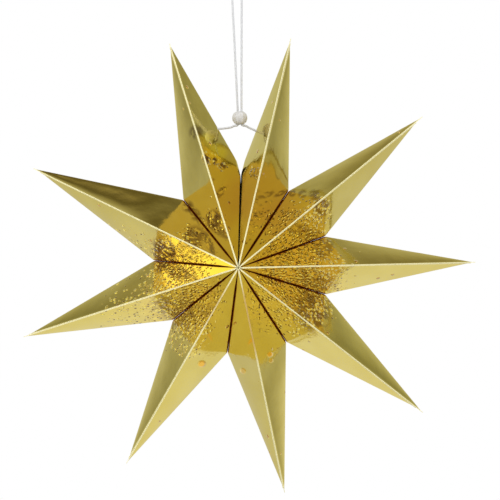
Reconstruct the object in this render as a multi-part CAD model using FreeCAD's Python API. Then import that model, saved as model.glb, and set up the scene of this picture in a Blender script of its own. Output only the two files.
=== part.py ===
import FreeCAD, Part
import math
import os
from FreeCAD import Vector

# A hanging nine-pointed star of folded foil card.
# X is right, Y runs from the front of the star to its back, Z is up, sizes are in millimetres and angles in degrees.
# The origin is where a hook bears inside the top of the hanging loop, and the star's centre hangs straight below it.
# Each point of the star is two folded sheets. They are glued together along the point's front and back ridges, and each
# is glued along its valley to the next point's sheet. The fan closes at the top, where its two end sheets stay free,
# a small gap apart.

# Star
HANG_DROP = 185.0
SHEET_REACH = 152.0
VALLEY_REACH = 57.3
APEX_DEPTH = 49.5
CENTRE_HOLE_RADIUS = 0.8

# Card
CARD_THICKNESS = 0.4
GLUE_LINE = 0.05
RIDGE_FLANGE_HEIGHT = 1.0
RIDGE_FLANGE_START = 1.5
GLUE_TAB_WIDTH = 6.0
GLUE_TAB_START = 3.0

# The fan as it stands open. Angles run clockwise from straight up, seen from the front.
# Each point has its ridge's angle, how far its first and second sheets stop short of SHEET_REACH, and the angle of the
# valley after it.
FREE_EDGE_ANGLE = 0.4
POINTS = (
    (13.3, 1.2, 4.5, 33.1),
    (51.6, 0.5, 5.9, 71.6),
    (90.2, 0.9, 3.8, 110.0),
    (130.1, 0.9, 6.4, 150.8),
    (170.4, 1.6, 4.4, 190.4),
    (211.4, 2.0, 5.8, 232.7),
    (253.0, 1.3, 5.1, 274.3),
    (295.9, 6.6, 1.4, 319.4),
    (342.9, 2.1, 0.0, 360.4),
)

# The gap between the two free edges, and the corners that are cut off beside it. A cut runs from a place on the sheet's
# outer fold to the free edge at VALLEY_REACH. The place is given by its distances from the centre and from the gap's
# middle.
FREE_EDGE_GAP = 0.7
CORNER_CUT_REACH = 68.4
CORNER_CUT_WIDTH = 2.6

# Cord, bead and knots
CORD_DIAMETER = 1.4
CORD_HOLE_CLEARANCE = 0.2
CORD_HOLE_REACH = 8.0
ARC_SHARE = 0.45
BEAD_WIDTH = 9.9
BEAD_HEIGHT = 8.2
BEAD_CENTRE_X = 0.4
BEAD_CENTRE_HEIGHT = 96.0
BEAD_BORE_CLEARANCE = 0.1
BEAD_LIP_RADIUS = 0.5
KNOT_DIAMETER = 3.8
KNOT_FACE_DISTANCE = 1.5

# The cord's route, from the knot inside the left end sheet, through the bead, round the hook, and back through the bead
# to the knot inside the right end sheet. The strands' points are X and the height above the star's centre, as the
# bead's height is, and the loop's are X and Z.
LEFT_STRAND = (
    (-15.8, 89.15),
    (-6.0, 89.6),
    (-3.5, 91.05),
    (-0.75, 91.15),
    (-0.75, 101.2),
)
LOOP_CORNERS = (
    (-3.5, 0.7),
    (3.3, 0.7),
)
RIGHT_STRAND = (
    (1.55, 101.2),
    (1.55, 91.15),
    (4.2, 90.95),
    (6.5, 89.45),
    (9.2, 88.3),
    (11.7, 86.87),
)

CENTRE = Vector(0, 0, -HANG_DROP)
APEX = Vector(0, -APEX_DEPTH, 0)
FRONT_TO_BACK = Vector(0, 1, 0)
OVERSIZE = 4.0 * SHEET_REACH
MIRROR_PLANE = (Vector(0, 0, 0), FRONT_TO_BACK)
FIRST_SHEET = "point_1_sheet_a"
LAST_SHEET = "point_%d_sheet_b" % len(POINTS)


def outward(angle):
    """The direction from the centre at a clock angle, in the star's middle plane."""
    turn = math.radians(angle)
    return Vector(math.sin(turn), 0, math.cos(turn))


def across(angle):
    """Square to outward(angle) in the middle plane, towards larger angles."""
    return outward(angle + 90.0)


def polygon_face(points):
    """A flat face with these corners."""
    return Part.Face(Part.makePolygon(list(points) + [points[0]]))


def beyond(shape, normal, distance):
    """The part of a shape that lies further than a distance along a direction from the centre."""
    side = normal.cross(FRONT_TO_BACK)
    corners = [normal * distance + side * OVERSIZE * a + FRONT_TO_BACK * OVERSIZE * b
               for a, b in ((-1, -1), (1, -1), (1, 1), (-1, 1))]
    return shape.common(polygon_face(corners).extrude(normal * OVERSIZE))


def front_sector(low_angle, high_angle, low_gap, high_gap, inner):
    """The front half of the space between two planes through the star's axis, each drawn in by its gap.

    It starts at the inner distance from the axis, measured half way between the planes.
    """
    middle = (low_angle + high_angle) / 2.0
    far = outward(middle) * SHEET_REACH * 1.1
    wide = across(middle) * SHEET_REACH
    block = polygon_face([wide * -1.0, far - wide, far + wide, wide]).extrude(FRONT_TO_BACK * -SHEET_REACH)
    block = beyond(block, across(low_angle), low_gap)
    block = beyond(block, across(high_angle) * -1.0, high_gap)
    return beyond(block, outward(middle), inner)


def slab(corners, thickness):
    """A flat sheet through three points, thickened towards the star's centre, and reaching past the points."""
    middle = (corners[0] + corners[1] + corners[2]) * (1.0 / 3.0)
    normal = (corners[1] - corners[0]).cross(corners[2] - corners[0])
    normal.normalize()
    if normal.dot(corners[0]) > 0:
        normal = normal * -1.0
    return polygon_face([middle + (corner - middle) * 2.0 for corner in corners]).extrude(normal * thickness)


def edge_strip(outer_point, plane_angle, side, low, high):
    """A strip of card against a plane through the axis, along the line from the apex to a point in that plane.

    It reaches from low to high across that line, outwards being positive, and lies on the given side of the plane.
    """
    along = outer_point - APEX
    along.normalize()
    proud = along.cross(across(plane_angle))
    proud.normalize()
    if proud.dot(APEX) < 0:
        proud = proud * -1.0
    start = APEX - along * OVERSIZE
    end = APEX + along * OVERSIZE
    face = polygon_face([start + proud * low, end + proud * low, end + proud * high, start + proud * high])
    return face.extrude(across(plane_angle) * side * (GLUE_LINE / 2.0 + CARD_THICKNESS))


def sheet(ridge_angle, edge_angle, reach, free):
    """One folded sheet of the star, from its ridge to its valley or free edge, in both halves of the star.

    A sheet with a free edge has no glue tab, and its corner beside the gap is cut off.
    """
    tip = outward(ridge_angle) * reach
    valley = outward(edge_angle) * VALLEY_REACH
    side = 1.0 if edge_angle > ridge_angle else -1.0
    ridge_gap = GLUE_LINE / 2.0
    edge_gap = FREE_EDGE_GAP / 2.0 if free else GLUE_LINE / 2.0

    def within(shape, inner):
        """The part of a shape between the ridge and the valley or free edge, and short of the tip."""
        low, high = sorted([(ridge_angle, ridge_gap), (edge_angle, edge_gap)])
        space = front_sector(low[0], high[0], low[1], high[1], inner)
        return shape.common(beyond(space, outward(ridge_angle) * -1.0, -reach))

    flange = within(edge_strip(tip, ridge_angle, side, -CARD_THICKNESS / 2.0, RIDGE_FLANGE_HEIGHT), RIDGE_FLANGE_START)
    if free:
        fold_end = outward(edge_angle) * CORNER_CUT_REACH - across(edge_angle) * side * CORNER_CUT_WIDTH
        from_gap = (fold_end - valley).cross(FRONT_TO_BACK) * side
        from_gap.normalize()
        facet = within(slab([APEX, tip, fold_end], CARD_THICKNESS), CENTRE_HOLE_RADIUS)
        front = [flange, beyond(facet, from_gap, from_gap.dot(valley))]
    else:
        tab = edge_strip(valley, edge_angle, -side, -GLUE_TAB_WIDTH, -CARD_THICKNESS / 2.0)
        facet = within(slab([APEX, tip, valley], CARD_THICKNESS), CENTRE_HOLE_RADIUS)
        front = [flange, facet, within(tab, GLUE_TAB_START)]
    pieces = front + [piece.mirror(*MIRROR_PLANE) for piece in front]
    return pieces[0].multiFuse(pieces[1:]).removeSplitter()


def route_points():
    """The cord's route in space."""
    left = [Vector(x, 0, height) + CENTRE for x, height in LEFT_STRAND]
    loop = [Vector(x, 0, z) for x, z in LOOP_CORNERS]
    right = [Vector(x, 0, height) + CENTRE for x, height in RIGHT_STRAND]
    return left + loop + right


def cord_line(points):
    """The cord's centre line: straight runs joined by tangent arcs, with the arcs' radii."""
    edges = []
    radii = []
    start = points[0]
    for before, corner, after in zip(points, points[1:], points[2:]):
        back = before - corner
        ahead = after - corner
        turn = math.pi - back.getAngle(ahead)
        cut = ARC_SHARE * min(back.Length, ahead.Length)
        radius = cut / math.tan(turn / 2.0)
        radii.append(radius)
        back.normalize()
        ahead.normalize()
        first = corner + back * cut
        last = corner + ahead * cut
        bisector = back + ahead
        bisector.normalize()
        middle = corner + bisector * (math.hypot(cut, radius) - radius)
        edges.append(Part.LineSegment(start, first).toShape())
        edges.append(Part.Arc(first, middle, last).toShape())
        start = last
    edges.append(Part.LineSegment(start, points[-1]).toShape())
    return Part.Wire(edges), radii


def cord():
    """The hanging cord, one tube from knot to knot."""
    points = route_points()
    line, radii = cord_line(points)
    direction = points[1] - points[0]
    profile = Part.Wire(Part.makeCircle(CORD_DIAMETER / 2.0, points[0], direction))
    tube = line.makePipeShell([profile], True, True)
    section = math.pi * CORD_DIAMETER ** 2 / 4.0
    print("cord length %.1f mm, volume against section times length %.4f"
          % (line.Length, tube.Volume / (section * line.Length)))
    print("cord arc radii in mm:", ", ".join("%.2f" % radius for radius in radii))
    return tube


def cord_hole(end, inner):
    """The hole round the cord's last run, which reaches past both ends of that run."""
    along = inner - end
    length = along.Length + 2.0 * CORD_HOLE_REACH
    along.normalize()
    radius = CORD_DIAMETER / 2.0 + CORD_HOLE_CLEARANCE
    return Part.makeCylinder(radius, length, end - along * CORD_HOLE_REACH, along)


def knot(end, inner):
    """A knot as a rounded body with a flat face where the cord enters it."""
    inwards = end - inner
    inwards.normalize()
    centre = end + inwards * KNOT_FACE_DISTANCE
    body = Part.makeSphere(KNOT_DIAMETER / 2.0, centre)
    cutter = Part.makeCylinder(KNOT_DIAMETER, KNOT_DIAMETER, end, inwards * -1.0)
    return body.cut(cutter)


def bead():
    """A rounded bead with a bore that takes both runs of the cord."""
    centre = CENTRE + Vector(BEAD_CENTRE_X, 0, BEAD_CENTRE_HEIGHT)
    strand_offset = max(BEAD_CENTRE_X - LEFT_STRAND[-1][0], RIGHT_STRAND[0][0] - BEAD_CENTRE_X)
    bore = strand_offset + CORD_DIAMETER / 2.0 + BEAD_BORE_CLEARANCE
    lip = bore + BEAD_LIP_RADIUS
    top = BEAD_HEIGHT / 2.0
    shoulder = top - BEAD_LIP_RADIUS
    bend = BEAD_LIP_RADIUS * (1.0 - math.sqrt(0.5))

    def at(radius, height):
        """A point of the bead's section."""
        return centre + Vector(radius, 0, height)

    outline = [
        Part.Arc(at(bore, shoulder), at(bore + bend, top - bend), at(lip, top)),
        Part.Arc(at(lip, top), at(BEAD_WIDTH / 2.0, 0), at(lip, -top)),
        Part.Arc(at(lip, -top), at(bore + bend, bend - top), at(bore, -shoulder)),
        Part.LineSegment(at(bore, -shoulder), at(bore, shoulder)),
    ]
    section = Part.Face(Part.Wire([piece.toShape() for piece in outline]))
    return section.revolve(centre, Vector(0, 0, 1), 360.0)


def star_sheets():
    """Every sheet by its name, clockwise from the free edge at the top."""
    edges = [FREE_EDGE_ANGLE] + [point[3] for point in POINTS]
    sheets = {}
    for number, (ridge_angle, first_short, second_short, next_edge) in enumerate(POINTS, 1):
        sheets["point_%d_sheet_a" % number] = sheet(
            ridge_angle, edges[number - 1], SHEET_REACH - first_short, number == 1)
        sheets["point_%d_sheet_b" % number] = sheet(
            ridge_angle, next_edge, SHEET_REACH - second_short, number == len(POINTS))
    for shape in sheets.values():
        shape.translate(CENTRE)
    route = route_points()
    for name, end, inner in ((FIRST_SHEET, route[-1], route[-2]), (LAST_SHEET, route[0], route[1])):
        sheets[name] = sheets[name].cut(cord_hole(end, inner))
    return sheets


def main():
    """Builds every piece and writes each as its own file."""
    os.makedirs("parts", exist_ok=True)
    route = route_points()
    pieces = star_sheets()
    pieces["hanging_cord"] = cord()
    pieces["bead"] = bead()
    pieces["left_knot"] = knot(route[0], route[1])
    pieces["right_knot"] = knot(route[-1], route[-2])
    for name, shape in pieces.items():
        solids = shape.Solids
        if len(solids) != 1 or not shape.isValid():
            raise ValueError("%s has %d solids, valid %s" % (name, len(solids), shape.isValid()))
        solids[0].exportStep("parts/%s.step" % name)
    print("%d pieces, card volume %.0f mm3"
          % (len(pieces), sum(shape.Volume for name, shape in pieces.items() if "sheet" in name)))


main()
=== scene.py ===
import math

import bpy
import numpy as np
from mathutils import Matrix, Vector, noise


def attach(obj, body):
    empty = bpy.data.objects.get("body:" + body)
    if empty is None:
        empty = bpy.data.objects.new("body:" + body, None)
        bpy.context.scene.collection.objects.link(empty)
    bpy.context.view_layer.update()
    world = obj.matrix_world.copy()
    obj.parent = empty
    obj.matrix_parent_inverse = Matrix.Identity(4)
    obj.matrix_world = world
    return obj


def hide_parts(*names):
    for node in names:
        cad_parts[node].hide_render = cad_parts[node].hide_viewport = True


# A hanging nine-pointed star of folded gold foil card. Lengths are in metres. Clock angles are in degrees and seen from
# the front. X is right, Y runs from the star's front to its back, Z is up, and the origin is where a hook bears inside
# the top of the hanging loop.

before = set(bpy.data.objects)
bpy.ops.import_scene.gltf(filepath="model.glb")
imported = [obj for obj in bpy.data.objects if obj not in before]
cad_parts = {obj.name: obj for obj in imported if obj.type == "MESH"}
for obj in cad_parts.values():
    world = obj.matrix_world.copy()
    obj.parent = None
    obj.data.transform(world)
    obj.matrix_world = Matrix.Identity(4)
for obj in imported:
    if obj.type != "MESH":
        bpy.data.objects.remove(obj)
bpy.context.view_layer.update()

# The star, as in its solids
CENTRE = np.array((0.0, 0.0, -0.185))
FRONT = np.array((0.0, -1.0, 0.0))
APEX_DEPTH = 0.0495
HOLE_RADIUS = 0.0008
CARD = 0.0004
HALF_GLUE_LINE = 0.000025
FLANGE_HEIGHT = 0.001
FLANGE_START = 0.0015
TAB_WIDTH = 0.006
POINT_COUNT = 9
FIRST_SHEET = "point_1_sheet_a"
LAST_SHEET = "point_9_sheet_b"
FREE_EDGE_ANGLE = 0.4
HALF_FREE_GAP = 0.00035
VALLEY_REACH = 0.0573
CORNER_CUT_REACH = 0.0684
CORNER_CUT_WIDTH = 0.0026

# What is measured on a solid: corners at least this far out, and an edge's corners within this angle of it
MEASURED_RADIUS = 0.02
EDGE_TOLERANCE = 0.15

# How the card bends
FLANGE_FILLET = 0.00025
VALLEY_BEND = 0.0012
INNER_BEND_SHARE = 0.2
BEND_STEPS = (0.2, 0.4, 0.6, 0.8, 1.0)
FOLD_ROUNDING = 0.00012

# How the card gets thinner and its bends tighter near the centre, as shares of the room between ridge and edge
CARD_ROOM = 0.42
FLANGE_CARD_ROOM = 0.8
FILLET_ROOM = 0.15
BEND_ROOM = 0.25
FILLET_FLANGE_SHARE = 0.3
LOWEST_FLANGE_SHARE = 0.15
NARROWEST_TAB_SHARE = 0.1
TAB_GROWTH = 6.0

# How far the outer part of each arm is from flat, where that begins along the ridge, and how it differs on some sheets;
# below zero the card is hollow
BULGE_HEIGHT = 0.0011
BULGE_START = 0.42
BULGE_RISE = 0.16
BULGE_SHARES = {
    "point_1_sheet_a": 0.3,
    "point_2_sheet_b": 0.4,
    "point_3_sheet_b": 0.3,
    "point_4_sheet_b": 0.3,
    "point_8_sheet_b": -1.3,
    "point_9_sheet_b": 0.1,
}

# The card's slow wave, which fades towards the outer fold and the centre and differs between sheets and their halves
WAVE_HEIGHT = 0.00035
WAVE_LENGTH = 0.05
WAVE_FADE = 2.5
WAVE_FULL_ROOM = 0.01
WAVE_SHEET_STEP = 3.7
WAVE_HALF_STEP = 5.3

# A sheet's mesh: its rows from the centre to the outer fold, partly evenly spaced, and its columns across a facet
ROWS = 34
EVEN_ROWS_SHARE = 0.35
FACET_COLUMNS = 26
SHARP_ANGLE = math.radians(40.0)
# Material slots; the fold slot's foil has painted shade in the valley folds
FOIL, PAPER, EDGE, SHADED_FOLD = 0, 1, 2, 3

# The cord, as its solid, with points added beside the hook and the bead on its long runs
CORD_DIAMETER = 0.0014
CORD_ROUTE = (
    (-0.0158, -0.09585),
    (-0.0060, -0.09540),
    (-0.0035, -0.09395),
    (-0.00075, -0.09385),
    (-0.00075, -0.09110),
    (-0.00075, -0.08380),
    (-0.00323, -0.00770),
    (-0.0035, 0.0007),
    (0.0033, 0.0007),
    (0.00313, -0.00770),
    (0.00155, -0.08380),
    (0.00155, -0.09110),
    (0.00155, -0.09385),
    (0.0042, -0.09405),
    (0.0065, -0.09555),
    (0.0092, -0.09670),
    (0.0117, -0.09813),
)
KNOTS = ("left_knot", "right_knot")

# The holes for the cord in the first and last sheets
CORD_HOLE_RADIUS = 0.0009
CORD_HOLE_REACH = 0.008
CORD_HOLE_SIDES = 32

# The bead, as its solid, with flutes
BEAD_MIDDLE = (0.0004, -0.089)
BEAD_RADIUS = 0.00495
BEAD_HALF_HEIGHT = 0.0041
BEAD_BORE = 0.00195
BEAD_LIP = 0.0005
BEAD_LIP_TURNS = (0.35, 0.7, 1.0)
BEAD_ROWS = 22
BEAD_COLUMNS = 120
BEAD_FLUTES = 12
BEAD_FLUTE_DEPTH = 0.00022

# The camera of the photograph
CAMERA_PLACE = Vector((0.0311, -0.7174, -0.1669))
CAMERA_FORWARD = Vector((-0.0356, 0.9993, -0.0111))
CAMERA_UP = Vector((0.0175, 0.0117, 0.9998))
CAMERA_LENS_MM = 79.46
CAMERA_SENSOR_MM = 36.0

# Where the foil has pits, with a painted brighter sheen over them and painted glints and painted shade in them; where
# dark reflections and a yellow reflection are painted on it; where it is rubbed towards orange and spotted with glue;
# and where a ridge's cut edge is stained: the middle of each place in X and Z, its radius and its strength. The core is
# at full strength
PITTED_AND_SHEEN_PLACES = (
    (-0.0400, -0.2070, 0.0350, 1.0),
    (0.0374, -0.1970, 0.0370, 1.0),
    (0.0360, -0.1660, 0.0260, 0.80),
    (-0.0155, -0.1554, 0.0100, 0.9),
    (-0.0480, -0.1770, 0.0170, 1.0),
    (-0.0300, -0.1670, 0.0110, 0.7),
    (0.0500, -0.1500, 0.0110, 0.9),
    (-0.0780, -0.1750, 0.0260, 0.30),
    (-0.0700, -0.2150, 0.0260, 0.40),
    (-0.0350, -0.2290, 0.0170, 0.70),
    (-0.0190, -0.1160, 0.0060, 0.8),
    (-0.0115, -0.1205, 0.0050, 0.8),
    (0.0100, -0.1260, 0.0060, 0.5),
)
# Places where dark reflections are painted on the foil
DARK_REFLECTION_PLACES = (
    (-0.0485, -0.1750, 0.0120, 1.0),
    (-0.0515, -0.1830, 0.0070, 0.9),
    (-0.0285, -0.1655, 0.0090, 0.7),
    (-0.0155, -0.1550, 0.0075, 0.9),
    (0.0530, -0.1740, 0.0090, 0.6),
    (0.0520, -0.1965, 0.0090, 0.45),
    (0.0450, -0.2020, 0.0080, 0.4),
    (0.0335, -0.1385, 0.0034, 0.7),
    (0.0400, -0.1395, 0.0038, 0.6),
    (0.0479, -0.1407, 0.0050, 0.6),
    (-0.0335, -0.1460, 0.0050, 0.7),
    (-0.0280, -0.1520, 0.0045, 0.6),
    (0.0520, -0.1485, 0.0070, 0.8),
    (0.0450, -0.2150, 0.0150, 0.75),
    (-0.0490, -0.2090, 0.0100, 0.6),
    (-0.0400, -0.2160, 0.0160, 0.45),
    (-0.0197, -0.1165, 0.0036, 1.0),
    (-0.0162, -0.1179, 0.0036, 1.0),
    (-0.0105, -0.1207, 0.0032, 0.9),
    (-0.0270, -0.0990, 0.0060, 0.6),
    (0.0095, -0.1255, 0.0040, 0.6),
)
RUBBED_PLACES = (
    (0.0140, -0.1400, 0.0260, 0.42),
)
# Places where a yellow reflection is painted on the foil
YELLOW_REFLECTION_PLACES = (
    (-0.0140, -0.1115, 0.0080, 0.9),
    (-0.0195, -0.1040, 0.0060, 0.6),
)
SPOTTED_PLACES = (
    (-0.0262, -0.2473, 0.0028, 0.9),
    (0.0177, -0.2413, 0.0022, 0.9),
    (0.0183, -0.2455, 0.0016, 0.6),
    (0.0, -0.2525, 0.0024, 0.5),
)
STAINED_PLACES = (
    (0.0035, -0.2190, 0.0300, 0.85),
)
PLACE_CORE = 0.45

# The foil's colours
FOIL_COLOURS = ((0.72, 0.595, 0.145), (0.69, 0.56, 0.120))
# A brighter yellow over the pits, a painted sheen
PAINTED_SHEEN_COLOUR = (0.95, 0.73, 0.14)
RUBBED_COLOUR = (0.62, 0.41, 0.13)
# A painted yellow reflection
PAINTED_YELLOW_REFLECTION_COLOUR = (0.92, 0.78, 0.07)
# Painted dark reflections
PAINTED_DARK_REFLECTION_COLOUR = (0.11, 0.045, 0.010)
SHADE_COLOUR = (0.30, 0.15, 0.03)
# Painted shade in some of the fine pits
PAINTED_PIT_SHADE_COLOUR = (0.12, 0.045, 0.008)
# Painted glints on some of the coarse pits
PAINTED_GLINT_COLOUR = (1.00, 0.82, 0.11)
SPECK_COLOUR = (0.55, 0.22, 0.04)
GLUE_COLOUR = (0.92, 0.50, 0.02)

# Pits and specks in the foil: the cells of their pattern along a metre and the share of the cells that have one, the
# share of the coarse pits that get painted glints and of the fine pits that get painted shade, and how far a dot's full
# and fading parts reach in its cell
COARSE_PITS = (370.0, 0.85)
FINE_PITS = (520.0, 0.62)
STRAY_SPECKS = (330.0, 0.012)
GLINTING_COARSE_SHARE = 0.7
SHADED_FINE_SHARE = 0.6
DOT_CORE = 0.22
DOT_RIM = 0.50

# How strongly some of the foil's colours cover what is below them
# The first is the painted sheen over the pits
PAINTED_SHEEN_STRENGTH = 0.65
SHADE_STRENGTH = 0.15
# The painted shade in the fine pits
PIT_SHADE_STRENGTH = 0.92
SPECK_STRENGTH = 0.7

# Noise in the foil, as its scale and detail: patches of shade, clouds of colour, haze, grain and orange peel. A range
# says from where to where the noise is spread, and from what to what
PATCH_NOISE = (260.0, 3.0)
PATCH_RANGE = (0.38, 0.52, 0.0, 1.0)
CLOUD_NOISE = (60.0, 2.0)
CLOUD_RANGE = (0.3, 0.7, 0.0, 1.0)
HAZE_NOISE = (900.0, 3.0)
HAZE_RANGE = (0.3, 0.75, 0.05, 0.11)
GRAIN_NOISE = (420.0, 3.0)
PEEL_NOISE = (45.0, 2.0)

# How high the foil's bumps are: its grain, its orange peel, its fine pits, and what stands out on it
GRAIN_HEIGHT = 0.00003
PEEL_HEIGHT = 0.0004
FINE_PIT_HEIGHT = 0.00022
RAISED_HEIGHT = 0.0006

FOIL_SHADER = {"Metallic": 1.0, "Coat Weight": 0.5, "Coat Roughness": 0.04, "Coat IOR": 1.5}
PAPER_SHADER = {"Roughness": 0.75, "Specular IOR Level": 0.2}

# The other materials, in two colours mixed by a grain: the grain's scale, detail and roughness, the range of it that is
# spread between the colours, the colours, the shader's inputs, the bump's height and a stain's colour
GRAINED_MATERIALS = {
    "white_cord": ((2600.0, 2.0, 0.5), (0.3, 0.7), ((0.64, 0.645, 0.66), (0.78, 0.785, 0.80)),
                   {"Roughness": 0.55, "Sheen Weight": 0.3}, 0.00008, None),
    "white_bead": ((500.0, 3.0, 0.5), (0.35, 0.65), ((0.70, 0.69, 0.67), (0.80, 0.79, 0.78)),
                   {"Roughness": 0.35}, 0.00003, None),
    "card_inside": ((900.0, 4.0, 0.6), (0.3, 0.7), ((0.80, 0.76, 0.66), (0.74, 0.70, 0.60)),
                    PAPER_SHADER, 0.00002, None),
    "card_edge": ((1500.0, 4.0, 0.6), (0.3, 0.7), ((0.99, 0.92, 0.55), (0.98, 0.90, 0.49)),
                  PAPER_SHADER, 0.00002, (0.66, 0.41, 0.10)),
    # Foil with painted shade, for the valley folds
    "shaded_fold_foil": ((300.0, 3.0, 0.5), (0.35, 0.65), ((0.30, 0.11, 0.028), (0.44, 0.21, 0.05)),
                  {"Metallic": 1.0, "Roughness": 0.35, "Specular Tint": (1.0, 0.78, 0.45, 1.0)}, None, None),
}

# What the foil mirrors, as colours against Z: a room that is white low down and darker above, behind the star and at
# its sides
ROOM_BEHIND = (
    (-1.0, (0.98, 0.98, 1.00)),
    (-0.85, (0.90, 0.92, 0.95)),
    (-0.63, (0.76, 0.75, 0.68)),
    (-0.5, (0.82, 0.82, 0.79)),
    (-0.17, (0.60, 0.59, 0.50)),
    (0.07, (0.53, 0.53, 0.46)),
    (0.45, (0.46, 0.46, 0.34)),
    (0.8, (0.40, 0.38, 0.27)),
    (0.9, (0.34, 0.31, 0.21)),
    (0.95, (0.20, 0.17, 0.09)),
    (1.0, (0.18, 0.15, 0.08)),
)
ROOM_BESIDE = (
    (-1.0, (1.00, 1.00, 0.90)),
    (-0.85, (0.92, 0.90, 0.75)),
    (-0.6, (0.80, 0.70, 0.58)),
    (-0.3, (0.86, 0.73, 0.56)),
    (0.2, (0.90, 0.77, 0.58)),
    (0.6, (0.80, 0.72, 0.54)),
    (1.0, (0.79, 0.69, 0.50)),
)
ROOM_IN_FRONT = (0.36, 0.30, 0.20)
WHITE = (1.0, 1.0, 1.0)

# How the mirrored room changes with the direction, each as a range and what is at its two ends: how bright it is behind
# the star against Y, how much of that counts against Z, and how far the room beside, the white backdrop and the room in
# front show against Y
BEHIND_BRIGHTNESS = (0.30, 0.66, 0.70, 1.38)
BEHIND_HEIGHT = (-0.80, -0.45, 0.2, 1.0)
BESIDE_SHARE = (0.0, 0.32, 1.0, 0.0)
BACKDROP_SHARE = (0.70, 1.0, 0.0, 1.0)
IN_FRONT_SHARE = (-0.45, -0.20, 1.0, 0.0)

# The floor, how bright the camera sees it, and how bright the foil mirrors it, as a range of distances from the origin
# and what is at its two ends
FLOOR_HEIGHT = -0.95
FLOOR_HALF_WIDTH = 1.6
FLOOR_COLOUR = (0.6, 0.6, 0.6)
FLOOR_GLOW_COLOUR = (1.0, 0.98, 0.88)
FLOOR_GLOW = 0.70
FLOOR_MIRRORED_GLOW = (1.15, 1.45, 0.38, 0.21)

# How brightly the world lights what isn't a mirror
FILL_STRENGTH = 0.80

# Lamps: name, place, what it is aimed at, its two sides, power and colour
LAMPS = (
    ("key_lamp", (-0.9, -1.3, 0.7), CENTRE, (1.0, 1.0), 8.0, WHITE),
    ("fill_lamp", (1.1, -1.2, 0.1), CENTRE, (0.8, 0.8), 4.0, WHITE),
    ("left_lamp", (-1.3, -0.29, -0.08), (0.0, -0.29, -0.08), (0.44, 0.60), 1.35, (0.92, 1.0, 0.85)),
)


def node(tree, kind, inputs=None, **settings):
    """A shader node with its settings and its unlinked inputs."""
    made = tree.nodes.new(kind)
    for name, value in settings.items():
        setattr(made, name, value)
    for name, value in (inputs or {}).items():
        made.inputs[name].default_value = value
    return made


def empty_material(name):
    """A material with only an output, its node tree and that output."""
    material = bpy.data.materials.new(name)
    material.use_nodes = True
    material.node_tree.nodes.clear()
    return material, material.node_tree, node(material.node_tree, "ShaderNodeOutputMaterial")


def object_place(tree):
    """A shaded point's place in its object, which is its place in the shared frame."""
    return node(tree, "ShaderNodeTexCoord").outputs["Object"]


def math_node(tree, operation, *values):
    """A Math node whose inputs are links or numbers."""
    made = node(tree, "ShaderNodeMath", operation=operation)
    for index, value in enumerate(values):
        if isinstance(value, (int, float)):
            made.inputs[index].default_value = value
        else:
            tree.links.new(value, made.inputs[index])
    return made.outputs[0]


def spread(tree, value, low, high, new_low, new_high, steps="SMOOTHSTEP"):
    """A value mapped from one range to another, and held at its ends."""
    made = node(tree, "ShaderNodeMapRange", interpolation_type=steps,
                inputs={"From Min": low, "From Max": high, "To Min": new_low, "To Max": new_high})
    tree.links.new(value, made.inputs["Value"])
    return made.outputs["Result"]


def noise_value(tree, place, scale, detail, roughness=0.5):
    """A noise texture's value."""
    made = node(tree, "ShaderNodeTexNoise", inputs={"Scale": scale, "Detail": detail, "Roughness": roughness})
    tree.links.new(place, made.inputs["Vector"])
    return made.outputs["Fac"]


def mixed(tree, amount, first, second):
    """A mix of two colours, each a link or three numbers, by an amount."""
    made = node(tree, "ShaderNodeMix", data_type="RGBA")
    tree.links.new(amount, made.inputs["Factor"])
    for name, colour in (("A", first), ("B", second)):
        if isinstance(colour, tuple):
            made.inputs[name].default_value = (*colour, 1.0)
        else:
            tree.links.new(colour, made.inputs[name])
    return made.outputs["Result"]


def bump(tree, height, distance, below=None):
    """A bump from a height, over another bump if one is given."""
    made = node(tree, "ShaderNodeBump", inputs={"Distance": distance, "Strength": 1.0})
    tree.links.new(height, made.inputs["Height"])
    if below is not None:
        tree.links.new(below, made.inputs["Normal"])
    return made.outputs["Normal"]


def principled(tree, output, colour, normal, inputs):
    """A Principled shader on a material's output, with a normal if one is given."""
    shader = node(tree, "ShaderNodeBsdfPrincipled", inputs=inputs)
    tree.links.new(colour, shader.inputs["Base Color"])
    if normal is not None:
        tree.links.new(normal, shader.inputs["Normal"])
    tree.links.new(shader.outputs[0], output.inputs["Surface"])
    return shader


def without_depth(tree, place):
    """A place moved to the star's middle plane, so that marks are the same on its front and back."""
    flat = node(tree, "ShaderNodeVectorMath", operation="MULTIPLY")
    tree.links.new(place, flat.inputs[0])
    flat.inputs[1].default_value = (1.0, 0.0, 1.0)
    return flat.outputs[0]


def marked_share(tree, flat, places):
    """How strongly a shaded point is marked by the strongest of some places, from 0 to 1."""
    share = None
    for x, z, radius, strength in places:
        away = node(tree, "ShaderNodeVectorMath", operation="DISTANCE")
        tree.links.new(flat, away.inputs[0])
        away.inputs[1].default_value = (x, 0.0, z)
        near = spread(tree, away.outputs["Value"], PLACE_CORE * radius, radius, strength, 0.0)
        share = near if share is None else math_node(tree, "MAXIMUM", share, near)
    return share


def dots(tree, place, scale, share):
    """Round dots in a share of a pattern's cells, and a random number that is the same all over a cell."""
    cells = node(tree, "ShaderNodeTexVoronoi", inputs={"Scale": scale})
    tree.links.new(place, cells.inputs["Vector"])
    dot = spread(tree, cells.outputs["Distance"], DOT_CORE, DOT_RIM, 1.0, 0.0)
    numbers = node(tree, "ShaderNodeSeparateColor")
    tree.links.new(cells.outputs["Color"], numbers.inputs[0])
    chosen = math_node(tree, "LESS_THAN", numbers.outputs[0], share)
    return math_node(tree, "MULTIPLY", dot, chosen), numbers.outputs[1]


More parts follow.
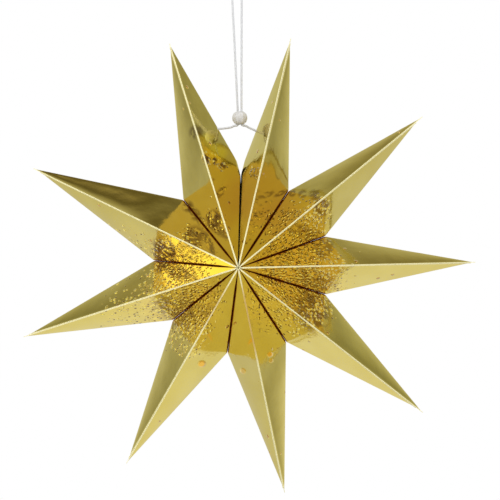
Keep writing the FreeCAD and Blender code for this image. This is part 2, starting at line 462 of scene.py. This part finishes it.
def foil_material():
    """Mirror-bright gold foil: coloured lacquer over metal, with pits, specks and a fine orange peel, and with a
    painted sheen, painted glints, painted shade and painted dark and yellow reflections in its colour.
    """
    material, tree, output = empty_material("gold_foil")
    place = object_place(tree)
    flat = without_depth(tree, place)
    # Where the foil has pits, with a painted sheen over them
    pits_and_sheen = marked_share(tree, flat, PITTED_AND_SHEEN_PLACES)
    # Where dark reflections are painted
    dark_reflection_share = marked_share(tree, flat, DARK_REFLECTION_PLACES)
    spotted = marked_share(tree, flat, SPOTTED_PLACES)
    scale, share = COARSE_PITS
    coarse, coarse_number = dots(tree, place, scale, math_node(tree, "MULTIPLY", pits_and_sheen, share))
    scale, share = FINE_PITS
    fine, fine_number = dots(tree, place, scale, math_node(tree, "MULTIPLY", pits_and_sheen, share))
    stray = dots(tree, place, *STRAY_SPECKS)[0]
    patches = spread(tree, noise_value(tree, place, *PATCH_NOISE), *PATCH_RANGE)

    cloud = spread(tree, noise_value(tree, place, *CLOUD_NOISE), *CLOUD_RANGE)
    shade = math_node(tree, "MULTIPLY", math_node(tree, "MULTIPLY", patches, pits_and_sheen), SHADE_STRENGTH)
    # Painted shade in a share of the fine pits
    dark = math_node(tree, "MULTIPLY", fine, math_node(tree, "LESS_THAN", fine_number, SHADED_FINE_SHARE))
    # Painted glints on a share of the coarse pits
    bright = math_node(tree, "MULTIPLY", coarse, math_node(tree, "LESS_THAN", coarse_number, GLINTING_COARSE_SHARE))
    colour = mixed(tree, cloud, *FOIL_COLOURS)
    for amount, tint in (
            # A painted sheen over the pits
            (math_node(tree, "MULTIPLY", pits_and_sheen, PAINTED_SHEEN_STRENGTH), PAINTED_SHEEN_COLOUR),
            (marked_share(tree, flat, RUBBED_PLACES), RUBBED_COLOUR),
            # A painted yellow reflection
            (marked_share(tree, flat, YELLOW_REFLECTION_PLACES), PAINTED_YELLOW_REFLECTION_COLOUR),
            # Painted dark reflections, in patches
            (math_node(tree, "MULTIPLY", patches, dark_reflection_share), PAINTED_DARK_REFLECTION_COLOUR),
            (shade, SHADE_COLOUR),
            # Painted shade in the fine pits
            (math_node(tree, "MULTIPLY", dark, PIT_SHADE_STRENGTH), PAINTED_PIT_SHADE_COLOUR),
            # Painted glints
            (bright, PAINTED_GLINT_COLOUR),
            (math_node(tree, "MULTIPLY", stray, SPECK_STRENGTH), SPECK_COLOUR),
            (spotted, GLUE_COLOUR)):
        colour = mixed(tree, amount, colour, tint)

    normal = bump(tree, noise_value(tree, place, *GRAIN_NOISE), GRAIN_HEIGHT)
    normal = bump(tree, noise_value(tree, place, *PEEL_NOISE), PEEL_HEIGHT, normal)
    normal = bump(tree, fine, FINE_PIT_HEIGHT, normal)
    raised = math_node(tree, "MAXIMUM", math_node(tree, "MAXIMUM", coarse, stray), spotted)
    normal = bump(tree, raised, RAISED_HEIGHT, normal)
    shader = principled(tree, output, colour, normal, FOIL_SHADER)
    haze = spread(tree, noise_value(tree, place, *HAZE_NOISE), *HAZE_RANGE)
    tree.links.new(haze, shader.inputs["Roughness"])
    return material


def grained_material(name):
    """One of the materials in two colours mixed by a grain."""
    grain, spread_range, colours, inputs, height, stain = GRAINED_MATERIALS[name]
    material, tree, output = empty_material(name)
    place = object_place(tree)
    value = noise_value(tree, place, *grain)
    colour = mixed(tree, spread(tree, value, *spread_range, 0.0, 1.0), *colours)
    if stain:
        colour = mixed(tree, marked_share(tree, without_depth(tree, place), STAINED_PLACES), colour, stain)
    normal = bump(tree, value, height) if height else None
    principled(tree, output, colour, normal, inputs)
    return material


def new_object(name, data):
    """An object in the scene."""
    made = bpy.data.objects.new(name, data)
    bpy.context.scene.collection.objects.link(made)
    return made


def make_camera():
    """The photograph's camera."""
    data = bpy.data.cameras.new("camera")
    data.lens = CAMERA_LENS_MM
    data.sensor_width = CAMERA_SENSOR_MM
    camera = new_object("camera", data)
    forward = CAMERA_FORWARD.normalized()
    right = forward.cross(CAMERA_UP).normalized()
    up = right.cross(forward)
    turn = Matrix((right, up, -forward)).transposed().to_4x4()
    camera.matrix_world = Matrix.Translation(CAMERA_PLACE) @ turn
    bpy.context.scene.camera = camera


def make_cord(material):
    """The hanging cord on its smooth line."""
    data = bpy.data.curves.new("hanging_cord_line", "CURVE")
    data.dimensions = "3D"
    spline = data.splines.new("NURBS")
    spline.points.add(len(CORD_ROUTE) - 1)
    for point, (x, z) in zip(spline.points, CORD_ROUTE):
        point.co = (x, 0.0, z, 1.0)
    spline.order_u = 3
    spline.use_endpoint_u = True
    spline.resolution_u = 12
    data.bevel_depth = CORD_DIAMETER / 2.0
    data.bevel_resolution = 5
    data.materials.append(material)
    cord = new_object("white_hanging_cord", data)
    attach(cord, "root")
    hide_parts("hanging_cord")
    return cord


def bead_ring():
    """The bead's outline round one side of its bore, as radius, height and share of a flute's depth."""
    narrowing = BEAD_RADIUS - BEAD_BORE - BEAD_LIP
    bulge = (narrowing ** 2 + BEAD_HALF_HEIGHT ** 2) / (2.0 * narrowing)
    rows = []
    for step in range(BEAD_ROWS + 1):
        share = step / BEAD_ROWS * 2.0 - 1.0
        height = BEAD_HALF_HEIGHT * share
        rows.append((BEAD_RADIUS - bulge + math.sqrt(bulge ** 2 - height ** 2), height, 1.0 - abs(share) ** 3))
    lip = []
    for turn in BEAD_LIP_TURNS:
        angle = turn * math.pi / 2.0
        lip.append((BEAD_BORE + BEAD_LIP * (1.0 - math.sin(angle)),
                    BEAD_HALF_HEIGHT - BEAD_LIP * (1.0 - math.cos(angle))))
    top = [(radius, height, 0.0) for radius, height in lip]
    bottom = [(radius, -height, 0.0) for radius, height in reversed(lip)]
    return rows + top + bottom


def make_bead(material):
    """The bead: a barrel with a wide bore, rounded lips and shallow flutes down its side."""
    ring = bead_ring()
    vertices = []
    for radius, height, flute in ring:
        for column in range(BEAD_COLUMNS):
            angle = 2.0 * math.pi * column / BEAD_COLUMNS
            groove = 0.5 - 0.5 * math.cos(BEAD_FLUTES * angle)
            at = radius - BEAD_FLUTE_DEPTH * flute * groove
            vertices.append((BEAD_MIDDLE[0] + at * math.cos(angle), at * math.sin(angle), BEAD_MIDDLE[1] + height))
    faces = []
    for row in range(len(ring)):
        after_row = (row + 1) % len(ring)
        for column in range(BEAD_COLUMNS):
            after = (column + 1) % BEAD_COLUMNS
            faces.append((row * BEAD_COLUMNS + column, row * BEAD_COLUMNS + after,
                          after_row * BEAD_COLUMNS + after, after_row * BEAD_COLUMNS + column))
    data = bpy.data.meshes.new("bead_barrel")
    data.from_pydata(vertices, [], faces)
    data.materials.append(material)
    data.polygons.foreach_set("use_smooth", [True] * len(faces))
    data.update()
    made = new_object("white_bead_barrel", data)
    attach(made, "root")
    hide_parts("bead")
    return made


def outward(angle):
    """The direction from the star's centre at a clock angle."""
    return np.array((math.sin(math.radians(angle)), 0.0, math.cos(math.radians(angle))))


def unit(vector):
    """A vector at length one."""
    return vector / np.linalg.norm(vector)


def bend(start, corner, end, step):
    """A point of the curve that leaves a start towards a corner and arrives at an end."""
    return start * (1.0 - step) ** 2 + corner * 2.0 * step * (1.0 - step) + end * step ** 2


def across_to(start, direction, across, distance):
    """The point from a start along a direction that lies a distance across from a glued plane."""
    return start + direction * (distance - start.dot(across)) / direction.dot(across)


def measure(name, side):
    """A sheet's ridge angle, edge angle and how far its ridge and edge reach, from its solid."""
    points = np.array([vertex.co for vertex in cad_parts[name].data.vertices]) - CENTRE
    radius = np.hypot(points[:, 0], points[:, 2])
    angle = np.degrees(np.arctan2(points[:, 0], points[:, 2]))
    reference = angle[radius.argmax()]
    turned = (angle - reference + 180.0) % 360.0 - 180.0
    far = radius > MEASURED_RADIUS
    ridge = turned[far].min() if side > 0 else turned[far].max()
    edge = turned[far].max() if side > 0 else turned[far].min()
    reach = (radius * np.cos(np.radians(turned - ridge))).max()
    edge_reach = radius[far & (abs(turned - edge) < EDGE_TOLERANCE)].max()
    return ridge + reference, edge + reference, reach, edge_reach


class Sheet:
    """The skins of one folded sheet, worked out row by row from the centre hole to the outer fold.

    A row runs across a facet from the ridge, at share 0, to the valley or free edge, at share 1. The side is 1 for a
    sheet that lies clockwise of its ridge and -1 for the other. A free sheet has no neighbour at its edge.
    """

    def __init__(self, name, side, seed, free):
        self.seed = seed
        self.free = free
        self.bulge_height = BULGE_HEIGHT * BULGE_SHARES.get(name, 1.0)
        self.ridge_angle, self.edge_angle, reach, edge_reach = measure(name, side)
        if free:
            self.edge_angle = FREE_EDGE_ANGLE
        self.edge_across = outward(self.edge_angle - 90.0 * side)
        self.edge_outward = outward(self.edge_angle)
        if free:
            valley = self.edge_outward * VALLEY_REACH
            fold_end = self.edge_outward * CORNER_CUT_REACH + self.edge_across * CORNER_CUT_WIDTH
            self.from_gap = unit(np.cross(fold_end - valley, FRONT))
            if self.from_gap.dot(self.edge_across) < 0:
                self.from_gap = -self.from_gap
            self.cut_distance = self.from_gap.dot(valley)
        else:
            fold_end = self.edge_outward * edge_reach
        self.corners = [outward(self.ridge_angle) * reach, fold_end]
        middle = outward((self.ridge_angle + self.edge_angle) / 2.0)
        self.first_share = [HOLE_RADIUS / corner.dot(middle) for corner in self.corners]
        apex = FRONT * APEX_DEPTH
        normal = unit(np.cross(self.corners[0] - apex, self.corners[1] - apex))
        flat = np.array((normal[0], 0.0, normal[2]))
        if flat.dot(self.corners[0]) < 0:
            flat = -flat
        self.inward = -flat * CARD / flat.dot(flat)
        self.ridge_across = outward(self.ridge_angle + 90.0 * side)
        ridge_line = unit(self.corners[0] - apex)
        self.valley_share = (fold_end - apex).dot(ridge_line) / np.linalg.norm(self.corners[0] - apex)
        self.proud = unit(FRONT - ridge_line * FRONT.dot(ridge_line))

    def line_point(self, index, row):
        """Where a row meets the line from the apex to an outer corner."""
        share = self.first_share[index] + (1.0 - self.first_share[index]) * row
        short = 1.0 - share
        corner = self.corners[index]
        rounding = FOLD_ROUNDING / np.linalg.norm(corner)
        return corner * (1.0 - math.hypot(short, rounding)) + FRONT * APEX_DEPTH * short

    def free_end(self, start, direction):
        """Where a run of the card from a start along a direction ends, at the free edge or at the cut corner."""
        to_edge = (HALF_FREE_GAP - start.dot(self.edge_across)) / direction.dot(self.edge_across)
        slope = direction.dot(self.from_gap)
        to_cut = (self.cut_distance - start.dot(self.from_gap)) / slope if slope < 0 else to_edge
        return start + direction * min(to_edge, to_cut)

    def bulge(self, row, share):
        """How far the card stands proud of flat on its outer part, or is hollow beside the ridge.

        Both profiles across the arm are 1 at their highest.
        """
        along = row * (1.0 - share + share * self.valley_share)
        rise = min(1.0, max(0.0, (along - BULGE_START) / BULGE_RISE))
        width = (1.0 - along) / (1.0 - self.valley_share)
        across = min(1.0, row * share / max(width, 1e-6))
        profile = 4.0 * across * (1.0 - across)
        if self.bulge_height < 0:
            profile = 6.75 * across * (1.0 - across) ** 2
        return self.bulge_height * rise * rise * (3.0 - 2.0 * rise) * width * profile

    def wave(self, row, share, half, room):
        """How far the card's slow wave lifts it at a place on its front or back facet."""
        corner = self.corners[0] * (1.0 - share) + self.corners[1] * share
        place = Vector(corner * row) / WAVE_LENGTH
        offset = Vector((self.seed * WAVE_SHEET_STEP, half * WAVE_HALF_STEP, 0.0))
        window = (4.0 * share * (1.0 - share)) * min(1.0, WAVE_FADE * (1.0 - row)) * min(1.0, room / WAVE_FULL_ROOM)
        return WAVE_HEIGHT * window * noise.noise(place + offset)

    def section(self, row, half):
        """The outer and inner skins of a row as lists of points, for the front half or, with half -1, the back."""
        lines = [self.line_point(index, row) for index in (0, 1)]
        radius = lines[1].dot(self.edge_outward)
        room = radius * math.sin(math.radians(abs(self.edge_angle - self.ridge_angle)))
        card = min(CARD, CARD_ROOM * room)
        inward = self.inward * card / CARD
        run = unit(lines[1] - lines[0])
        outer, inner, low = self.flange(row, lines[0], inward, run, room)

        start = outer[-1]
        if self.free:
            end = self.free_end(start, run)
            end_in = self.free_end(low, run)
        else:
            valley = across_to(lines[1], run, self.edge_across, HALF_GLUE_LINE)
            valley_in = across_to(lines[1] + inward, run, self.edge_across, HALF_GLUE_LINE + card)
            reach = min(VALLEY_BEND, BEND_ROOM * room)
            reach_in = reach * INNER_BEND_SHARE
            end = valley - run * reach
            end_in = valley_in - run * reach_in
        for column in range(1, FACET_COLUMNS + 1):
            share = column / FACET_COLUMNS
            shift = unit(self.inward) * -(self.wave(row, share, half, room) + self.bulge(row, share))
            outer.append(start * (1.0 - share) + end * share + shift)
            inner.append(low * (1.0 - share) + end_in * share + shift)
        if not self.free:
            tab_outer, tab_inner = self.tab_ends(row, valley, valley_in, card)
            into = unit(tab_outer - valley)
            for step in BEND_STEPS:
                outer.append(bend(end, valley, valley + into * reach, step))
                inner.append(bend(end_in, valley_in, valley_in + into * reach_in, step))
            outer.append(tab_outer)
            inner.append(tab_inner)
        return outer, inner

    def flange(self, row, line, inward, run, room):
        """The glue flange at the ridge: its outer and inner points, and where the facet's inner skin starts."""
        card = min(CARD, FLANGE_CARD_ROOM * room)
        ridge_radius = line.dot(outward(self.ridge_angle))
        from_tip = np.linalg.norm(self.corners[0] - line)
        height = FLANGE_HEIGHT * min(1.0, from_tip / FLANGE_HEIGHT,
                                     max(LOWEST_FLANGE_SHARE, (ridge_radius - HOLE_RADIUS) / FLANGE_START))
        foot = across_to(line, run, self.ridge_across, HALF_GLUE_LINE + card)
        fillet = min(FLANGE_FILLET, FILLET_FLANGE_SHARE * height, FILLET_ROOM * room)
        glued = self.ridge_across * HALF_GLUE_LINE + line - self.ridge_across * line.dot(self.ridge_across)
        low = across_to(line + inward, run, self.ridge_across, HALF_GLUE_LINE)
        outer = [glued + self.ridge_across * card + self.proud * height]
        inner = [glued + self.proud * height]
        for step in (0.0, 0.5, 1.0):
            outer.append(bend(foot + self.proud * fillet, foot, foot + run * fillet, step))
            inner.append(glued * (1.0 - step) + low * step + self.proud * fillet * (1.0 - step))
        return outer, inner, low

    def tab_ends(self, row, valley, valley_in, card):
        """The inner end of the glue tab, on its glued side and on its other side."""
        apex = FRONT * APEX_DEPTH
        line = unit(self.corners[1] - apex)
        into = -unit(FRONT - line * FRONT.dot(line))
        start = apex + into * TAB_WIDTH
        to_fold = start - line * start.dot(FRONT) / line.dot(FRONT)
        full = start * (1.0 - row) + to_fold * row
        full = full - self.edge_across * (full.dot(self.edge_across) - HALF_GLUE_LINE)
        share = min(1.0, NARROWEST_TAB_SHARE + TAB_GROWTH * row)
        tab_outer = valley * (1.0 - share) + full * share
        tab_inner = valley_in * (1.0 - share) + (full + self.edge_across * card) * share
        return tab_outer, tab_inner


def row_places():
    """Rows from the centre hole to the outer fold, closer together at both ends."""
    places = [0.5 - 0.5 * math.cos(math.pi * index / ROWS) for index in range(ROWS + 1)]
    return [EVEN_ROWS_SHARE * index / ROWS + (1.0 - EVEN_ROWS_SHARE) * place for index, place in enumerate(places)]


def make_sheet(name, side, seed, free, materials):
    """One folded sheet as a closed thin mesh: foil outside, paper inside, cut edges round it."""
    sheet = Sheet(name, side, seed, free)
    rows = []
    for half in (1, -1):
        places = row_places() if half == 1 else row_places()[-2::-1]
        for row in places:
            outer, inner = sheet.section(row, half)
            loop = np.array(outer + inner[::-1])
            if half == -1:
                loop[:, 1] = -loop[:, 1]
            rows.append(loop + CENTRE)
    around = len(rows[0])
    skin = around // 2
    fold_columns = range(skin - 2 - len(BEND_STEPS), skin - 2) if not free else ()
    faces = []
    slots = []
    for row in range(len(rows) - 1):
        for column in range(around):
            after = (column + 1) % around
            faces.append((row * around + column, row * around + after,
                          (row + 1) * around + after, (row + 1) * around + column))
            if column in (skin - 1, around - 1):
                slots.append(EDGE)
            elif column >= skin:
                slots.append(PAPER)
            else:
                # The valley folds get the foil with painted shade
                slots.append(SHADED_FOLD if column in fold_columns else FOIL)
    last = (len(rows) - 1) * around
    for column in range(skin - 1):
        opposite = around - 1 - column
        faces.append((column + 1, column, opposite, opposite - 1))
        faces.append((last + column, last + column + 1, last + opposite - 1, last + opposite))
        slots += [EDGE, EDGE]
    if side < 0:
        faces = [face[::-1] for face in faces]
    data = bpy.data.meshes.new(name + "_card")
    data.from_pydata(np.concatenate(rows).tolist(), [], faces)
    for material in materials:
        data.materials.append(material)
    data.polygons.foreach_set("material_index", slots)
    data.polygons.foreach_set("use_smooth", [True] * len(faces))
    data.set_sharp_from_angle(angle=SHARP_ANGLE)
    data.update()
    card = new_object("foil_" + name, data)
    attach(card, "root")
    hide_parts(name)
    return card


def pierce(card, end, inner):
    """Cuts the hole for the cord's last run through a sheet."""
    along = unit(end - inner)
    first = unit(np.cross(along, FRONT))
    second = np.cross(along, first)
    vertices = []
    for middle in (inner - along * CORD_HOLE_REACH, end + along * CORD_HOLE_REACH):
        for step in range(CORD_HOLE_SIDES):
            angle = 2.0 * math.pi * step / CORD_HOLE_SIDES
            vertex = middle + (first * math.cos(angle) + second * math.sin(angle)) * CORD_HOLE_RADIUS
            vertices.append(vertex.tolist())
    faces = [tuple(range(CORD_HOLE_SIDES))[::-1], tuple(range(CORD_HOLE_SIDES, 2 * CORD_HOLE_SIDES))]
    for step in range(CORD_HOLE_SIDES):
        after = (step + 1) % CORD_HOLE_SIDES
        faces.append((step, after, CORD_HOLE_SIDES + after, CORD_HOLE_SIDES + step))
    data = bpy.data.meshes.new("cord_hole_cutter")
    data.from_pydata(vertices, [], faces)
    cutter = new_object("cord_hole_cutter", data)
    cut = card.modifiers.new("cord_hole", "BOOLEAN")
    cut.operation = "DIFFERENCE"
    cut.solver = "EXACT"
    cut.object = cutter
    pierced = bpy.data.meshes.new_from_object(card.evaluated_get(bpy.context.evaluated_depsgraph_get()))
    card.modifiers.clear()
    card.data = pierced
    pierced.set_sharp_from_angle(angle=SHARP_ANGLE)
    bpy.data.objects.remove(cutter)
    bpy.data.meshes.remove(data)


def ramp(tree, value, stops):
    """A colour from a value between -1 and 1, through colours at places."""
    made = node(tree, "ShaderNodeValToRGB")
    tree.links.new(math_node(tree, "MULTIPLY_ADD", value, 0.5, 0.5), made.inputs[0])
    elements = made.color_ramp.elements
    elements.remove(elements[1])
    for index, (place, colour) in enumerate(stops):
        if index:
            elements.new(place * 0.5 + 0.5)
        elements[index].position = place * 0.5 + 0.5
        elements[index].color = (*colour, 1.0)
    return made.outputs["Color"]


def mirrored_ray(tree, path):
    """Whether a place is seen in a mirror or through glass, as 1 or 0."""
    return math_node(tree, "MAXIMUM", path.outputs["Is Glossy Ray"], path.outputs["Is Transmission Ray"])


def make_floor():
    """A pale floor well below the star, which the camera and the foil see brighter than it is lit."""
    material, tree, output = empty_material("pale_floor")
    path = node(tree, "ShaderNodeLightPath")
    seen = math_node(tree, "MAXIMUM", path.outputs["Is Camera Ray"], mirrored_ray(tree, path))
    glow = node(tree, "ShaderNodeEmission", inputs={"Color": (*FLOOR_GLOW_COLOUR, 1.0)})
    from_origin = node(tree, "ShaderNodeVectorMath", operation="LENGTH")
    tree.links.new(object_place(tree), from_origin.inputs[0])
    mirrored = spread(tree, from_origin.outputs["Value"], *FLOOR_MIRRORED_GLOW)
    strength = node(tree, "ShaderNodeMix", data_type="FLOAT", inputs={"B": FLOOR_GLOW})
    tree.links.new(path.outputs["Is Camera Ray"], strength.inputs["Factor"])
    tree.links.new(mirrored, strength.inputs["A"])
    tree.links.new(math_node(tree, "MULTIPLY", seen, strength.outputs["Result"]), glow.inputs["Strength"])
    matt = node(tree, "ShaderNodeBsdfDiffuse", inputs={"Color": (*FLOOR_COLOUR, 1.0)})
    both = node(tree, "ShaderNodeAddShader")
    tree.links.new(glow.outputs[0], both.inputs[0])
    tree.links.new(matt.outputs[0], both.inputs[1])
    tree.links.new(both.outputs[0], output.inputs["Surface"])
    corners = ((-1, -1), (1, -1), (1, 1), (-1, 1))
    data = bpy.data.meshes.new("floor")
    data.from_pydata([(x * FLOOR_HALF_WIDTH, y * FLOOR_HALF_WIDTH, FLOOR_HEIGHT) for x, y in corners],
                     [], [(0, 1, 2, 3)])
    data.materials.append(material)
    floor = new_object("floor", data)


def room_colour(tree):
    """What the foil mirrors in each direction: the room behind, beside and in front, and a white backdrop."""
    direction = node(tree, "ShaderNodeSeparateXYZ")
    tree.links.new(node(tree, "ShaderNodeTexCoord").outputs["Generated"], direction.inputs[0])
    brightness = spread(tree, direction.outputs["Y"], *BEHIND_BRIGHTNESS, steps="LINEAR")
    height = spread(tree, direction.outputs["Z"], *BEHIND_HEIGHT)
    brighter = math_node(tree, "MULTIPLY", math_node(tree, "SUBTRACT", brightness, 1.0), height)
    behind = node(tree, "ShaderNodeVectorMath", operation="SCALE")
    tree.links.new(ramp(tree, direction.outputs["Z"], ROOM_BEHIND), behind.inputs[0])
    tree.links.new(math_node(tree, "ADD", brighter, 1.0), behind.inputs["Scale"])
    beside = ramp(tree, direction.outputs["Z"], ROOM_BESIDE)
    colour = mixed(tree, spread(tree, direction.outputs["Y"], *BESIDE_SHARE), behind.outputs[0], beside)
    colour = mixed(tree, spread(tree, direction.outputs["Y"], *BACKDROP_SHARE), colour, WHITE)
    return mixed(tree, spread(tree, direction.outputs["Y"], *IN_FRONT_SHARE), colour, ROOM_IN_FRONT)


def make_world():
    """White for the camera, a room for what the foil mirrors and an even fill light for the rest."""
    world = bpy.data.worlds.new("studio")
    bpy.context.scene.world = world
    world.use_nodes = True
    tree = world.node_tree
    tree.nodes.clear()
    output = node(tree, "ShaderNodeOutputWorld")
    path = node(tree, "ShaderNodeLightPath")
    white = node(tree, "ShaderNodeBackground", inputs={"Color": (*WHITE, 1.0), "Strength": 1.0})
    room = node(tree, "ShaderNodeBackground", inputs={"Strength": 1.0})
    tree.links.new(room_colour(tree), room.inputs["Color"])
    fill = node(tree, "ShaderNodeBackground", inputs={"Color": (*WHITE, 1.0), "Strength": FILL_STRENGTH})
    by_mirror = node(tree, "ShaderNodeMixShader")
    tree.links.new(mirrored_ray(tree, path), by_mirror.inputs[0])
    tree.links.new(fill.outputs[0], by_mirror.inputs[1])
    tree.links.new(room.outputs[0], by_mirror.inputs[2])
    by_camera = node(tree, "ShaderNodeMixShader")
    tree.links.new(path.outputs["Is Camera Ray"], by_camera.inputs[0])
    tree.links.new(by_mirror.outputs[0], by_camera.inputs[1])
    tree.links.new(white.outputs[0], by_camera.inputs[2])
    tree.links.new(by_camera.outputs[0], output.inputs["Surface"])


def make_lamps():
    """Soft rectangular lamps."""
    for name, place, aim, size, power, colour in LAMPS:
        lamp = bpy.data.lights.new(name, "AREA")
        lamp.shape = "RECTANGLE"
        lamp.size = size[0]
        lamp.size_y = size[1]
        lamp.energy = power
        lamp.color = colour
        holder = new_object(name, lamp)
        toward = Vector(aim) - Vector(place)
        holder.matrix_world = Matrix.Translation(place) @ toward.to_track_quat("-Z", "Y").to_matrix().to_4x4()


make_camera()
white_cord = grained_material("white_cord")
cord = make_cord(white_cord)
for knot_name in KNOTS:
    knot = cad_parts[knot_name]
    knot.data.materials.clear()
    knot.data.materials.append(white_cord)
bead = make_bead(grained_material("white_bead"))

# In the order of FOIL, PAPER, EDGE and SHADED_FOLD, the last a foil with painted shade for the valley folds
card_materials = [foil_material(), grained_material("card_inside"), grained_material("card_edge"),
                  grained_material("shaded_fold_foil")]
cards = {}
for number in range(1, POINT_COUNT + 1):
    for letter, side in (("a", -1), ("b", 1)):
        name = "point_%d_sheet_%s" % (number, letter)
        free = name in (FIRST_SHEET, LAST_SHEET)
        cards[name] = make_sheet(name, side, 2 * number + (side > 0), free, card_materials)
route = [np.array((x, 0.0, z)) for x, z in CORD_ROUTE]
pierce(cards[FIRST_SHEET], route[-1], route[-2])
pierce(cards[LAST_SHEET], route[0], route[1])

make_floor()
make_world()
make_lamps()
bpy.context.scene.view_settings.view_transform = "Standard"
